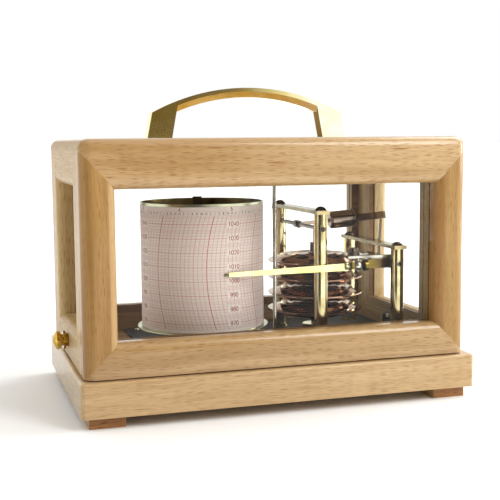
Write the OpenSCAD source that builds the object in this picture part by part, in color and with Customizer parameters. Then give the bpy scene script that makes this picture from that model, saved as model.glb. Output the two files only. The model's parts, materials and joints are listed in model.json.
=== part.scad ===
// Barograph: a recording aneroid barometer under a lift-off glazed beech cover.
// Units are millimetres, +Z is up, +X runs to the right of the window side and the window side faces -Y.
// Origin: middle of the underside of the feet. The drum stands on the left, the capsules on the right.

/* [Case] */
// Outside width of the lift-off cover
cover_w = 280; // [278:1:300]
// Outside depth of the lift-off cover
cover_d = 175; // [174:1:200]
// Height of the cover from its lower edge to the top of the board
cover_h = 159; // [158:0.5:180]
// Thickness of the cover's wooden frame members
wall_t = 17; // [15:0.5:18]
// Width of a frame member seen from outside
frame_w = 23.6; // [20:0.1:26]
// Height of the upper frame members
head_w = 25.5; // [22:0.1:27]
// Thickness of the top board
top_t = 8; // [8:0.1:12]
// Radius of the cover's upright corners
corner_r = 8; // [6:0.5:9]
// How far the base stands out past the cover
base_lip = 4.5; // [3:0.5:9]
// How far the base and the mechanism stand to the right of the middle of the cover
base_shift = 1.3; // [0:0.1:1.5]
// Thickness of the base board
base_h = 24; // [20:1:30]
// Height of the feet
foot_h = 8; // [6:1:12]
// Side of a square foot
foot_w = 25; // [20:1:32]

/* [Handle] */
// Height of the handle's crown over the top board
handle_h = 37.7; // [34:0.1:44]
// Depth of the handle from front to back
handle_d = 11; // [9:0.5:14]
// Radius of the two knurled cover knobs
knob_r = 6.7; // [6:0.1:7.6]

/* [Drum] */
// Radius of the chart drum without its paper
drum_r = 46; // [44:0.1:46.2]
// Height of the drum above its foot flange
drum_h = 92.8; // [88:0.1:94]
// Module of the drum's fixed wheel and pinion
gear_m = 0.8; // [0.8:0.01:0.85]

/* [Pressure train] */
// Radius of a pressure capsule with its flange
capsule_r = 37.1; // [34:0.1:37.3]
// Height step from one capsule to the next
capsule_step = 12.73; // [12.6:0.01:12.9]
// Thickness of a capsule's skin
skin_t = 0.6; // [0.4:0.1:0.8]
// Radius of the four pillars
post_r = 5; // [4:0.1:5.2]
// Radius of the two turning arbors
arbor_r = 1.6; // [1.4:0.1:2]
// Radius of the steel compensating cylinder
cylinder_r = 6.9; // [6:0.1:7.4]
// Thickness of the pen arm strip
strip_t = 0.6; // [0.5:0.1:0.8]
// Radius of the pen-lifting rod
rod_r = 1.4; // [1.2:0.1:1.6]

/* [Hidden] */
$fn = 72;
eps = 0.01;
fit = 0.05;
gap = 0.3;
felt_t = 1;
base_z = foot_h + base_h;
cover_z = base_z + felt_t;
top_z = cover_z + cover_h;
board_z = top_z - top_t;
in_x = cover_w / 2 - wall_t;
in_y = cover_d / 2 - wall_t;
win_x = cover_w / 2 - frame_w;
win_y = in_y - frame_w;
win_z0 = cover_z + frame_w;
win_z1 = board_z - head_w;
floor_t = 4;
floor_z = base_z + floor_t;
plate_t = 2;
plate_z = floor_z + plate_t;
plate_x0 = base_shift + 35 - in_x;
plate_x1 = base_shift + in_x - 3.5;
plate_y = in_y - 5.5;
lip_t = 12;
rebate_w = 6.5;
glass_t = 1.6;
bead_t = wall_t - lip_t - glass_t + 0.3;
over_r = 7;
knob_z = cover_z + 11.8;
shank_r = 2.5;
drum_x = base_shift - 39.2;
drum_y = -5;
wheel_n = 48;
pinion_n = 10;
spin_r = 2.5;
wheel_r = wheel_n * gear_m / 2;
pinion_r = pinion_n * gear_m / 2;
mesh_d = wheel_r + pinion_r + 0.05;
wheel_z = plate_z + 6;
drum_z = plate_z + 12.3;
can_top = drum_z + 2 + drum_h;
cap_x = base_shift + 53.8;
cap_y = 0;
cap_z = plate_z + 20.2;
hub_h = capsule_step / 2 - gap / 2;
stem_z = cap_z + 3 * capsule_step + hub_h + gap;
lev_x = base_shift + 39.5;
lev_z = plate_z + 86.8;
lev_tilt = 4.2;
pen_x = base_shift + 101.5;
pen_z = plate_z + 58.6;
front_y = -50;
lev_back = 42;
pen_back = 43;
lev_top = plate_z + 97.8;
pen_top = plate_z + 69.8;
bar_t = 2.7;
link_bx = pen_x + 7;
link_bz = pen_z + 0.2;
link_tx = link_bx + 2.1;
link_tz = link_bz + 31.9;
cyl_x0 = 26.4;
cyl_len = 20.2;
lever_end = (link_tx - lev_x) / cos(lev_tilt) + 3.6;
strip_drop = 2.2;
gate_x = base_shift + 73.5;
gate_y = -40;
ball_z = pen_z - 1.6;
ball_r = 3.9;
bar_lift = 4.2;
nut_x = gate_x - 3.5;
lift_x = base_shift + 15.4;
bend_x = gate_x - 18.5;
tip_x = gate_x - 105.1;
bend_y = gate_y - 17;
tip_y = gate_y - 11.6;
lift_y = -50.5;
lift_off = 12;

// Flat shapes and small shared bodies

module rounded(w, d, r) {
  square([w - 2 * r, d], center = true);
  square([w, d - 2 * r], center = true);
  for (sx = [-1, 1]) {
    for (sy = [-1, 1]) {
      translate([sx * (w / 2 - r), sy * (d / 2 - r)]) circle(r);
    }
  }
}

module slab(w, d, h, r) {
  linear_extrude(h) rounded(w, d, r);
}

module arch2d(w, h, e) {
  translate([-w / 2 + e, 0]) square([w - 2 * e, h]);
  translate([-w / 2, 0]) square([w, h - e]);
  for (s = [-1, 1]) {
    intersection() {
      translate([s * (w / 2 - e), h - e]) circle(e);
      translate([-w / 2, 0]) square([w, h]);
    }
  }
}

// A board with upright corners of radius r and a top edge of radius e
module soft_board(w, d, h, r, e) {
  rotate([90, 0, 90]) linear_extrude(w - 2 * r, center = true) arch2d(d, h, e);
  rotate([90, 0, 0]) linear_extrude(d - 2 * r, center = true) arch2d(w, h, e);
  for (sx = [-1, 1]) {
    for (sy = [-1, 1]) {
      translate([sx * (w / 2 - r), sy * (d / 2 - r), 0]) rotate_extrude() intersection() {
        arch2d(2 * r, h, e);
        square([r + 1, h + 1]);
      }
    }
  }
}

// A domed, slotted screw head standing on z = 0
module dome_head(r, h, slot) {
  big = (r * r + h * h) / (2 * h);
  difference() {
    rotate_extrude() intersection() {
      translate([0, h - big]) circle(big);
      square([r + 1, h + 1]);
    }
    translate([0, 0, h]) cube([2 * r + 2, slot, 1.6], center = true);
  }
}

// Outline of a wheel with straight-sided teeth: root, tip, half angles at root and tip
module teeth(n, root, tip, ha_root, ha_tip, turn) {
  polygon([for (k = [0 : n - 1]) for (p = [[root, -ha_root], [tip, -ha_tip], [tip, ha_tip], [root, ha_root]])
    let (a = turn + 360 * k / n + p[1]) [p[0] * cos(a), p[0] * sin(a)]]);
}

module knurled(r, h, n) {
  linear_extrude(h) teeth(n, r - 0.5, r, 360 / n * 0.36, 360 / n * 0.2, 0);
  translate([0, 0, -0.4]) cylinder(h = h + 0.8, r = r - 0.7);
}

// Base and floor

module base_board() {
  color("burlywood") translate([base_shift, 0, foot_h])
    soft_board(cover_w + 2 * base_lip, cover_d + 2 * base_lip, base_h, 3, 2);
}

module feet() {
  fx = cover_w / 2 + base_lip - 5.3 - foot_w / 2;
  fy = cover_d / 2 + base_lip - 5.3 - foot_w / 2;
  color("sienna") for (sx = [-1, 1]) {
    for (sy = [-1, 1]) {
      translate([base_shift + sx * fx, sy * fy, 0]) slab(foot_w, foot_w, foot_h, 1);
    }
  }
}

module floor_panel() {
  color("tan") translate([0, 0, base_z]) slab(2 * in_x - 1.2, 2 * in_y - 1.2, floor_t, 2);
}

module felt_strip() {
  color("darkolivegreen") translate([0, 0, base_z]) difference() {
    slab(cover_w - 3, cover_d - 3, felt_t, corner_r - 1.5);
    translate([0, 0, -1]) slab(2 * in_x + 2, 2 * in_y + 2, felt_t + 2, 1);
  }
}

module mechanism_plate() {
  color("dimgray") difference() {
    translate([(plate_x0 + plate_x1) / 2, 0, floor_z]) slab(plate_x1 - plate_x0, 2 * plate_y, plate_t, 4);
    translate([in_x - 10.2, -7.7, floor_z - 1]) cube([20, 15.4, plate_t + 2]);
  }
}

module plate_screws() {
  color("silver") for (x = [plate_x0 + 9, plate_x1 - 9]) {
    for (y = [-plate_y + 7, plate_y - 7]) {
      translate([x, y, plate_z]) dome_head(2.4, 1.4, 0.6);
    }
  }
}

// Open-topped brackets that the knob shanks drop into
module fork_one() {
  difference() {
    union() {
      translate([in_x - 3.5, -7, floor_z]) cube([2.5, 14, knob_z - floor_z + 5]);
      translate([in_x - 9.5, -7, floor_z]) cube([6.1, 14, 2]);
    }
    translate([in_x - 5, 0, knob_z]) rotate([0, 90, 0]) cylinder(h = 6, r = shank_r + 0.4);
    translate([in_x - 5, -shank_r - 0.4, knob_z]) cube([6, 2 * shank_r + 0.8, 8]);
  }
  for (s = [-1, 1]) {
    translate([in_x - 6.6, s * 4.4, floor_z + 2]) dome_head(1.9, 1.1, 0.5);
  }
}

module cover_forks() {
  color("goldenrod") {
    fork_one();
    mirror([1, 0, 0]) fork_one();
  }
}

// Drum and clock

module drum_spindle() {
  color("silver") translate([drum_x, drum_y, plate_z]) {
    cylinder(h = 2.5, r = 11);
    cylinder(h = wheel_z - plate_z, r = 6);
    cylinder(h = 58, r = spin_r);
    translate([0, 0, 58]) cylinder(h = 1, r1 = spin_r, r2 = spin_r - 1);
  }
}

module fixed_wheel() {
  color("gold") translate([drum_x, drum_y, wheel_z]) difference() {
    union() {
      linear_extrude(2) teeth(wheel_n, wheel_r - 0.95, wheel_r + 0.7, 2.1, 0.9, 180 / wheel_n);
      cylinder(h = drum_z - wheel_z - 1.8, r = 6);
    }
    translate([0, 0, -1]) cylinder(h = 8, r = spin_r + fit);
    for (a = [45 : 90 : 315]) {
      rotate([0, 0, a]) translate([12.2, 0, -1]) cylinder(h = 4, r = 3.6);
    }
  }
}

module drive_pinion() {
  color("gold") translate([drum_x + mesh_d, drum_y, 0]) {
    translate([0, 0, wheel_z - 0.8]) linear_extrude(3.6)
      teeth(pinion_n, pinion_r - 1, pinion_r + 0.65, 10.5, 3.6, 0);
    translate([0, 0, wheel_z - 1.6]) cylinder(h = drum_z - wheel_z + 6, r = 1.5);
  }
}

module drum_can() {
  color("lightsteelblue") translate([drum_x, drum_y, drum_z]) difference() {
    union() {
      rotate_extrude() {
        square([drum_r + 3.2, 1.6]);
        translate([drum_r + 2.9, 0.8]) circle(0.8);
      }
      translate([0, 0, -1.5]) cylinder(h = 4, r = 7);
      cylinder(h = drum_h + 2, r = drum_r);
      translate([0, 0, drum_h + 0.4]) cylinder(h = 1.6, r = drum_r + 0.35);
    }
    translate([0, 0, 2]) cylinder(h = drum_h + 2, r = drum_r - 1);
    translate([0, 0, -3]) cylinder(h = 8, r = spin_r + fit);
    translate([mesh_d, 0, -3]) cylinder(h = 8, r = 1.5 + fit);
  }
}

module chart_paper() {
  color("mistyrose") translate([drum_x, drum_y, drum_z + 2.2]) difference() {
    cylinder(h = drum_h - 2.2, r = drum_r + 0.35);
    translate([0, 0, -1]) cylinder(h = drum_h, r = drum_r + 0.05);
  }
}

// Spring strip that holds the paper's overlap, hooked over the rim
module chart_clip() {
  r1 = drum_r + 0.4;
  color("silver") translate([drum_x, drum_y, drum_z]) rotate([0, 0, 75.5]) rotate_extrude(angle = 9)
    polygon([[r1, 2.2], [r1 + 0.5, 2.2], [r1 + 0.5, drum_h + 3], [drum_r - 1.9, drum_h + 3],
      [drum_r - 1.9, drum_h - 4], [drum_r - 1.4, drum_h - 4], [drum_r - 1.4, drum_h + 2.4],
      [r1, drum_h + 2.4]]);
}

module clock_case() {
  color("peru") translate([drum_x, drum_y, drum_z + 2]) difference() {
    union() {
      rotate_extrude() {
        square([31, 30]);
        square([33, 28]);
        translate([31, 28]) circle(2);
      }
      translate([0, 0, 30]) cylinder(h = 1.6, r = 9);
      translate([0, 19, 30]) cylinder(h = 1.2, r = 4.4);
    }
    translate([0, 0, -1]) cylinder(h = 40, r = spin_r + fit);
    translate([mesh_d, 0, -1]) cylinder(h = 5.6, r = 1.5 + fit);
    translate([0, 19, 26]) cylinder(h = 8, r = 1.8 + fit);
    rotate([0, 0, 200]) translate([20, 0, 29.2]) slab(14, 3, 2, 1.4);
  }
}

module winding_key() {
  color("goldenrod") translate([drum_x, drum_y + 19, drum_z + 2 + 26.5]) {
    cylinder(h = 9, r = 1.8);
    translate([0, 0, 5.2]) cylinder(h = 3, r = 3.2);
    translate([0, 0, 8]) rotate([90, 0, 0]) linear_extrude(1.8, center = true) {
      translate([-6, 3.4]) circle(3.4);
      translate([6, 3.4]) circle(3.4);
      translate([-6, 1.8]) square([12, 3.2]);
      translate([-2.2, 0]) square([4.4, 3]);
    }
  }
}

module spindle_nut() {
  color("gold") translate([drum_x, drum_y, drum_z + 2 + 31.6 + gap + 0.4]) difference() {
    union() {
      knurled(7, 4, 24);
      cylinder(h = 6.5, r = 4);
    }
    translate([0, 0, -1]) cylinder(h = 9, r = spin_r + fit);
  }
}

// Pressure capsules

// Crests and hollows of a capsule's skin, from its flange to its hub, lowered by drop
function skin(drop) = [[capsule_r - 4.4, 0.6 - drop], [capsule_r - 7.6, 3.4 - drop],
  [capsule_r - 9.6, 4.3 - drop], [capsule_r - 12.4, 3.3 - drop], [capsule_r - 15.2, 4.8 - drop],
  [capsule_r - 18.4, 3.6 - drop], [capsule_r - 21.6, 5.1 - drop], [capsule_r - 25, 3.9 - drop],
  [capsule_r - 28.4, 5.2 - drop], [5, 4.6 - drop]];

function flipped(points) = [for (i = [len(points) - 1:-1:0]) [points[i][0], -points[i][1]]];

// Corrugated shell, hollow inside, with a fine hole through its hubs
module capsule_shape() {
  upper = concat([[capsule_r, 0.5]], skin(0), [[5, hub_h], [0.8, hub_h], [0.8, 3.5]]);
  lower = concat([[0.8, -3.5], [0.8, -hub_h], [5, -hub_h]], flipped(skin(0)), [[capsule_r, -0.5]]);
  room = [for (p = skin(skin_t)) if (p[1] > 0) p];
  rotate_extrude() difference() {
    polygon(concat(upper, lower));
    polygon(concat([[0.7, 4.6 - skin_t], [0.7, skin_t - 4.6]], flipped(room), [[capsule_r - 5.4, 0]], room));
  }
}

module capsule_at(k) {
  color("peru") translate([cap_x, cap_y, cap_z + (k - 1) * capsule_step]) capsule_shape();
}

module capsule_1() {
  capsule_at(1);
}

module capsule_2() {
  capsule_at(2);
}

module capsule_3() {
  capsule_at(3);
}

module capsule_4() {
  capsule_at(4);
}

module capsule_stud() {
  color("silver") translate([cap_x, cap_y, plate_z]) {
    cylinder(h = 2.2, r = 9);
    cylinder(h = cap_z - hub_h - plate_z, r = 3);
    translate([0, 0, cap_z - hub_h - plate_z - 2.4]) cylinder(h = 2.4, r = 5);
  }
}

module adjusting_nut() {
  color("gold") translate([cap_x, cap_y, plate_z + 3.2]) difference() {
    knurled(10, 4, 36);
    translate([0, 0, -1]) cylinder(h = 7, r = 3 + fit);
  }
}

module capsule_stem() {
  tip = lev_z + (cap_x - lev_x) * tan(lev_tilt) - 1.4 / cos(lev_tilt) - gap;
  color("saddlebrown") translate([cap_x, cap_y, 0]) {
    translate([0, 0, stem_z]) cylinder(h = 7, r = 3.8);
    translate([0, 0, stem_z]) cylinder(h = tip - stem_z - 1.2, r = 1.3);
    translate([0, 0, tip - 1.2]) sphere(1.2);
  }
}

// Pillars, top bars and pivots

module post_pair(x, back, top, az) {
  for (y = [front_y, back]) {
    difference() {
      translate([x, y, plate_z]) union() {
        cylinder(h = top - plate_z, r = post_r);
        cylinder(h = 1.5, r = post_r + 1.5);
      }
      translate([x, y - post_r - 1, az]) rotate([-90, 0, 0]) cylinder(h = 2 * post_r + 2, r = 2);
    }
  }
}

module top_bar(x, back, top) {
  translate([x - post_r, front_y - post_r - 1, top]) cube([2 * post_r, back - front_y + 2 * post_r + 2, bar_t]);
}

module pivot_screw(r) {
  difference() {
    cylinder(h = 2 * post_r + 0.6, r = r);
    translate([0, 0, 2 * post_r - 2]) cylinder(h = 4, r = 0.8 + fit);
    translate([0, 0, 0]) cube([0.7, 2 * r + 1, 1.8], center = true);
  }
}

module pivot_pair(x, back, az) {
  translate([x, front_y - post_r + 0.4, az]) rotate([-90, 0, 0]) pivot_screw(2);
  translate([x, back + post_r - 0.4, az]) rotate([90, 0, 0]) pivot_screw(2);
}

module arbor(x, back, az, r) {
  y0 = front_y + post_r + 1.3;
  y1 = back - post_r - 1.3;
  translate([x, y0, az]) rotate([-90, 0, 0]) cylinder(h = y1 - y0, r = r);
  translate([x, y0 - 2.2, az]) rotate([-90, 0, 0]) cylinder(h = y1 - y0 + 4.4, r = 0.8);
}

module lever_posts() {
  color("darkkhaki") post_pair(lev_x, lev_back, lev_top, lev_z);
}

module pen_posts() {
  color("darkkhaki") post_pair(pen_x, pen_back, pen_top, pen_z);
}

module lever_bar() {
  color("gold") top_bar(lev_x, lev_back, lev_top);
}

module pen_bar() {
  color("gold") top_bar(pen_x, pen_back, pen_top);
}

module bar_screws() {
  color("dimgray") {
    translate([lev_x, front_y, lev_top + bar_t]) dome_head(4.4, 3, 0.9);
    translate([lev_x, lev_back, lev_top + bar_t]) dome_head(4.4, 3, 0.9);
    translate([pen_x, front_y, pen_top + bar_t]) dome_head(4.4, 2.6, 0.9);
    translate([pen_x, pen_back, pen_top + bar_t]) dome_head(4.4, 2.6, 0.9);
  }
}

module lever_pivots() {
  color("dimgray") pivot_pair(lev_x, lev_back, lev_z);
}

module pen_pivots() {
  color("dimgray") pivot_pair(pen_x, pen_back, pen_z);
}

// First lever: arbor, arm, compensating cylinder and link

module lever_arbor() {
  color("silver") {
    arbor(lev_x, lev_back, lev_z, arbor_r);
    translate([lev_x, -3.4, lev_z]) rotate([-90, 0, 0]) cylinder(h = 6.8, r = 3);
  }
}

module in_lever() {
  translate([lev_x, 0, lev_z]) rotate([0, -lev_tilt, 0]) children();
}

module lever_arm() {
  x1 = cyl_x0 + cyl_len;
  color("dimgray") difference() {
    in_lever() {
      translate([2.8, -1.5, -1.4]) cube([cyl_x0 - 2.8, 3, 2.8]);
      translate([x1, -1.7, -strip_drop]) cube([lever_end - x1, 3.4, 4.7]);
      translate([x1, -3.4, -strip_drop]) cube([4, 6.8, 5.1]);
    }
    translate([lev_x, -4, lev_z]) rotate([-90, 0, 0]) cylinder(h = 8, r = 3);
    link_slot();
    translate([link_tx, -5, link_tz]) rotate([-90, 0, 0]) cylinder(h = 10, r = 0.6);
  }
}

module link_slot() {
  translate([link_tx - 3.6, -0.9, link_tz - 9]) cube([14, 1.8, 13]);
}

// Flat strip under the outer part of the lever
module lever_strip() {
  x1 = cyl_x0 + cyl_len;
  color("silver") difference() {
    in_lever() translate([x1, -2.8, -strip_drop - 0.8]) cube([lever_end - x1, 5.6, 0.8]);
    link_slot();
  }
}

module steel_cylinder() {
  body = cyl_len - 3.9;
  color("gray") in_lever() translate([cyl_x0, 0, 0]) rotate([0, 90, 0]) {
    cylinder(h = 1.6, r1 = cylinder_r - 1.6, r2 = cylinder_r);
    translate([0, 0, 1.6]) cylinder(h = body, r = cylinder_r);
    translate([0, 0, 1.6 + body]) cylinder(h = 0.8, r = cylinder_r - 1);
    translate([0, 0, 2.4 + body]) cylinder(h = 1.5, r = cylinder_r + 0.5);
  }
}

module link_rod() {
  dx = link_tx - link_bx;
  dz = link_tz - link_bz;
  len = sqrt(dx * dx + dz * dz);
  color("silver") {
    translate([link_bx, 0, link_bz]) rotate([0, atan2(dx, dz), 0]) difference() {
      union() {
        translate([-1.2, -0.65, 1.9]) cube([2.4, 1.3, len - 3]);
        rotate([-90, 0, 0]) translate([0, 0, -0.65]) cylinder(h = 1.3, r = 2.4);
        translate([0, 0, len]) rotate([-90, 0, 0]) translate([0, 0, -0.65]) cylinder(h = 1.3, r = 2);
      }
      rotate([-90, 0, 0]) translate([0, 0, -2]) cylinder(h = 4, r = 0.95);
    }
    translate([link_tx, -3.2, link_tz]) rotate([-90, 0, 0]) cylinder(h = 6.4, r = 0.55);
  }
}

// Pen arbor, crank, gate and pen arm

module pen_arbor() {
  color("silver") arbor(pen_x, pen_back, pen_z, arbor_r + 0.4);
}

module crank_fork() {
  color("darkgray") {
    difference() {
      union() {
        translate([pen_x, -3, pen_z]) rotate([-90, 0, 0]) cylinder(h = 6, r = 3.8);
        for (y = [-2.2, 1]) {
          translate([pen_x, y, 0]) {
            translate([0, 0, pen_z - 1.8]) cube([link_bx - pen_x, 1.2, 3.6 + link_bz - pen_z]);
            translate([link_bx - pen_x, 0, link_bz]) rotate([-90, 0, 0]) cylinder(h = 1.2, r = 1.9);
          }
        }
      }
      translate([pen_x, -5, pen_z]) rotate([-90, 0, 0]) cylinder(h = 10, r = arbor_r + 0.4 + fit);
    }
    translate([link_bx, -2.6, link_bz]) rotate([-90, 0, 0]) cylinder(h = 5.2, r = 0.6);
  }
}

module arm_carrier() {
  color("goldenrod") difference() {
    union() {
      translate([pen_x, gate_y - 3, pen_z]) rotate([-90, 0, 0]) cylinder(h = 6, r = 5);
      translate([gate_x + 7.4, gate_y - 2, pen_z - 4.1]) cube([pen_x - gate_x - 7.4, 4, 6.9]);
      translate([gate_x + 5.1, gate_y, ball_z]) rotate([0, 90, 0]) cylinder(h = 2.4, r = 4.3);
      translate([pen_x - 6, gate_y - 3, pen_z]) cube([6, 6, bar_lift]);
    }
    translate([pen_x, gate_y - 5, pen_z]) rotate([-90, 0, 0]) cylinder(h = 10, r = arbor_r + 0.4 + fit);
    translate([gate_x, gate_y - 4, pen_z + bar_lift]) cube([pen_x - gate_x + 6, 8, 4]);
  }
}

// Steel bar over the gate with the pin that the pen arm swings on
module gate_bar() {
  foot = ball_z - ball_r - 0.6;
  color("silver") difference() {
    union() {
      translate([gate_x - 9, gate_y - 3, pen_z + bar_lift]) cube([pen_x - gate_x + 9, 6, 1.8]);
      translate([gate_x, gate_y, foot]) cylinder(h = pen_z + bar_lift + 1 - foot, r = 1.2);
    }
    translate([nut_x, gate_y, pen_z + bar_lift - 1]) cylinder(h = 4, r = 1.2 + fit);
  }
}

// Knurled clamp screw at the end of the bar
module gate_nut() {
  top = pen_z + bar_lift + 1.8;
  color("silver") translate([nut_x, gate_y, 0]) {
    translate([0, 0, top + 0.6]) knurled(4.6, 2.6, 18);
    translate([0, 0, top + 3.4]) cylinder(h = 2.6, r = 3.3);
    translate([0, 0, top - 2.6]) cylinder(h = 4, r = 1.2);
  }
}

module gate_ball() {
  color("silver") translate([gate_x, gate_y, ball_z]) difference() {
    sphere(ball_r);
    translate([0, 0, -6]) cylinder(h = 12, r = 1.2 + fit);
  }
}

// Plan of the strip: a joggle from the ball to the plane of the nib
module arm_plan() {
  t = strip_t;
  polygon([[gate_x - 3.2, gate_y - 1.4], [gate_x - 3.2, gate_y - 1.4 - t], [gate_x - 5.4, gate_y - 1.4 - t],
    [bend_x + 0.2, bend_y - t], [tip_x, tip_y - t], [tip_x, tip_y], [bend_x, bend_y], [gate_x - 5.2, gate_y - 1.4]]);
}

module pen_arm() {
  color("gold") difference() {
    intersection() {
      translate([0, 0, pen_z - 20]) linear_extrude(40) arm_plan();
      rotate([90, 0, 0]) linear_extrude(200, center = true)
        polygon([[tip_x - 1.4, pen_z - 3.9], [tip_x - 1.4, pen_z - 0.9], [bend_x - 0.2, pen_z + 2.6],
          [gate_x - 5.5, pen_z + 1.4], [gate_x + 4, pen_z + 0.9], [gate_x + 4, ball_z - 2.4],
          [gate_x - 5.5, ball_z - 2.6], [bend_x - 0.2, pen_z - 2.8]]);
    }
    translate([gate_x, gate_y, ball_z]) sphere(ball_r);
  }
}

module pen_nib() {
  color("black") translate([tip_x, tip_y - 0.2, pen_z - 3.5]) linear_extrude(2.2)
    polygon([[0, -0.35], [0, 0.3], [-1.4, 0.4], [-3.4, 0.1], [-2.2, -0.35]]);
}

// Pen lifter

module lifter_bush() {
  color("goldenrod") translate([lift_x, lift_y, plate_z]) difference() {
    union() {
      cylinder(h = 1.5, r = 7);
      cylinder(h = 5, r = 4.5);
    }
    translate([0, 0, -1]) cylinder(h = 8, r = 2 + fit);
  }
}

module lifter_rod() {
  z0 = plate_z + 5.3;
  color("silver") {
    translate([lift_x, lift_y, plate_z + 0.5]) cylinder(h = 8, r = 2);
    translate([lift_x - lift_off / 2, lift_y, z0]) slab(lift_off + 6, 5, 3, 2.4);
    translate([lift_x - lift_off, lift_y, z0]) cylinder(h = top_z - 25 - z0, r = rod_r);
    translate([lift_x - lift_off, lift_y, top_z - 25]) sphere(rod_r);
    translate([lift_x - lift_off, lift_y, plate_z + 103]) cylinder(h = 1.6, r = rod_r + 0.6);
    translate([lift_x, lift_y, z0 + 3]) cylinder(h = 2.6, r = 3.4);
  }
}

// Cover: board, mitred frame members, panes, beads, handle and knobs

module top_board() {
  color("burlywood") translate([0, 0, board_z]) soft_board(cover_w, cover_d, top_t, corner_r, 7.5);
}

// Section of a frame member: u across its width towards the window, v through its thickness
module member2d(w) {
  difference() {
    union() {
      square([w - over_r, wall_t]);
      translate([0, over_r]) square([w, wall_t - over_r]);
      intersection() {
        translate([w - over_r, over_r]) circle(over_r);
        square([w, wall_t]);
      }
    }
    translate([w - rebate_w, lip_t]) square([rebate_w + 1, wall_t]);
  }
}

module cover_outline() {
  translate([0, 0, cover_z]) slab(cover_w, cover_d, board_z - cover_z, corner_r);
}

module front_rail(w) {
  translate([0, -cover_d / 2, 0]) rotate([0, -90, 0]) linear_extrude(cover_w, center = true) member2d(w);
}

module rails_y() {
  intersection() {
    translate([0, 0, cover_z]) front_rail(frame_w);
    rotate([90, 0, 0]) linear_extrude(2 * cover_d, center = true)
      polygon([[-cover_w / 2, cover_z], [cover_w / 2, cover_z], [win_x, win_z0], [-win_x, win_z0]]);
    cover_outline();
  }
  intersection() {
    translate([0, 0, board_z]) mirror([0, 0, 1]) front_rail(head_w);
    rotate([90, 0, 0]) linear_extrude(2 * cover_d, center = true)
      polygon([[-cover_w / 2, board_z], [cover_w / 2, board_z], [win_x, win_z1], [-win_x, win_z1]]);
    cover_outline();
  }
}

module stile_y() {
  intersection() {
    translate([-cover_w / 2, -cover_d / 2, cover_z]) linear_extrude(board_z - cover_z) member2d(frame_w);
    rotate([90, 0, 0]) linear_extrude(2 * cover_d, center = true)
      polygon([[-cover_w / 2, cover_z], [-win_x, win_z0], [-win_x, win_z1], [-cover_w / 2, board_z]]);
    cover_outline();
  }
}

module front_rails() {
  color("burlywood") rails_y();
}

module front_stiles() {
  color("burlywood") {
    stile_y();
    mirror([1, 0, 0]) stile_y();
  }
}

module rear_rails() {
  color("burlywood") mirror([0, 1, 0]) rails_y();
}

module rear_stiles() {
  color("burlywood") mirror([0, 1, 0]) {
    stile_y();
    mirror([1, 0, 0]) stile_y();
  }
}

module side_rail(w) {
  translate([cover_w / 2, 0, 0]) rotate([0, 0, 90]) rotate([0, -90, 0])
    linear_extrude(2 * in_y, center = true) member2d(w);
}

module rails_x() {
  difference() {
    intersection() {
      translate([0, 0, cover_z]) side_rail(frame_w);
      rotate([90, 0, 90]) linear_extrude(2 * cover_w, center = true)
        polygon([[-in_y, cover_z], [in_y, cover_z], [win_y, win_z0], [-win_y, win_z0]]);
    }
    translate([in_x - 5, 0, knob_z]) rotate([0, 90, 0]) cylinder(h = wall_t + 10, r = shank_r + fit);
  }
  intersection() {
    translate([0, 0, board_z]) mirror([0, 0, 1]) side_rail(head_w);
    rotate([90, 0, 90]) linear_extrude(2 * cover_w, center = true)
      polygon([[-in_y, board_z], [in_y, board_z], [win_y, win_z1], [-win_y, win_z1]]);
  }
}

module stile_x() {
  intersection() {
    translate([cover_w / 2, -in_y, cover_z]) rotate([0, 0, 90])
      linear_extrude(board_z - cover_z) member2d(in_y - win_y);
    rotate([90, 0, 90]) linear_extrude(2 * cover_w, center = true)
      polygon([[-in_y, cover_z], [-win_y, win_z0], [-win_y, win_z1], [-in_y, board_z]]);
  }
}

module side_rails() {
  color("burlywood") {
    rails_x();
    mirror([1, 0, 0]) rails_x();
  }
}

module side_stiles() {
  color("burlywood") for (mx = [0, 1]) {
    for (my = [0, 1]) {
      mirror([mx, 0, 0]) mirror([0, my, 0]) stile_x();
    }
  }
}

module pane_y() {
  grow = rebate_w - 0.4;
  translate([-win_x - grow, -cover_d / 2 + lip_t, win_z0 - grow])
    cube([2 * (win_x + grow), glass_t, win_z1 - win_z0 + 2 * grow]);
}

module pane_x() {
  grow = rebate_w - 0.4;
  translate([cover_w / 2 - lip_t - glass_t, -win_y - grow, win_z0 - grow])
    cube([glass_t, 2 * (win_y + grow), win_z1 - win_z0 + 2 * grow]);
}

module glass_front() {
  color("lightcyan", 0.4) pane_y();
}

module glass_rear() {
  color("lightcyan", 0.4) mirror([0, 1, 0]) pane_y();
}

module glass_sides() {
  color("lightcyan", 0.4) {
    pane_x();
    mirror([1, 0, 0]) pane_x();
  }
}

module bead_y() {
  grow = rebate_w - 0.2;
  translate([0, -cover_d / 2 + lip_t + glass_t, 0]) difference() {
    translate([-win_x - grow, 0, win_z0 - grow])
      cube([2 * (win_x + grow), bead_t, win_z1 - win_z0 + 2 * grow]);
    translate([-win_x, -1, win_z0]) cube([2 * win_x, bead_t + 2, win_z1 - win_z0]);
  }
}

module bead_x() {
  grow = rebate_w - 0.2;
  translate([cover_w / 2 - lip_t - glass_t - bead_t, 0, 0]) difference() {
    translate([0, -win_y - grow, win_z0 - grow])
      cube([bead_t, 2 * (win_y + grow), win_z1 - win_z0 + 2 * grow]);
    translate([-1, -win_y, win_z0]) cube([bead_t + 2, 2 * win_y, win_z1 - win_z0]);
  }
}

module glazing_beads() {
  color("tan") {
    bead_y();
    mirror([0, 1, 0]) bead_y();
    bead_x();
    mirror([1, 0, 0]) bead_x();
  }
}

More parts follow.
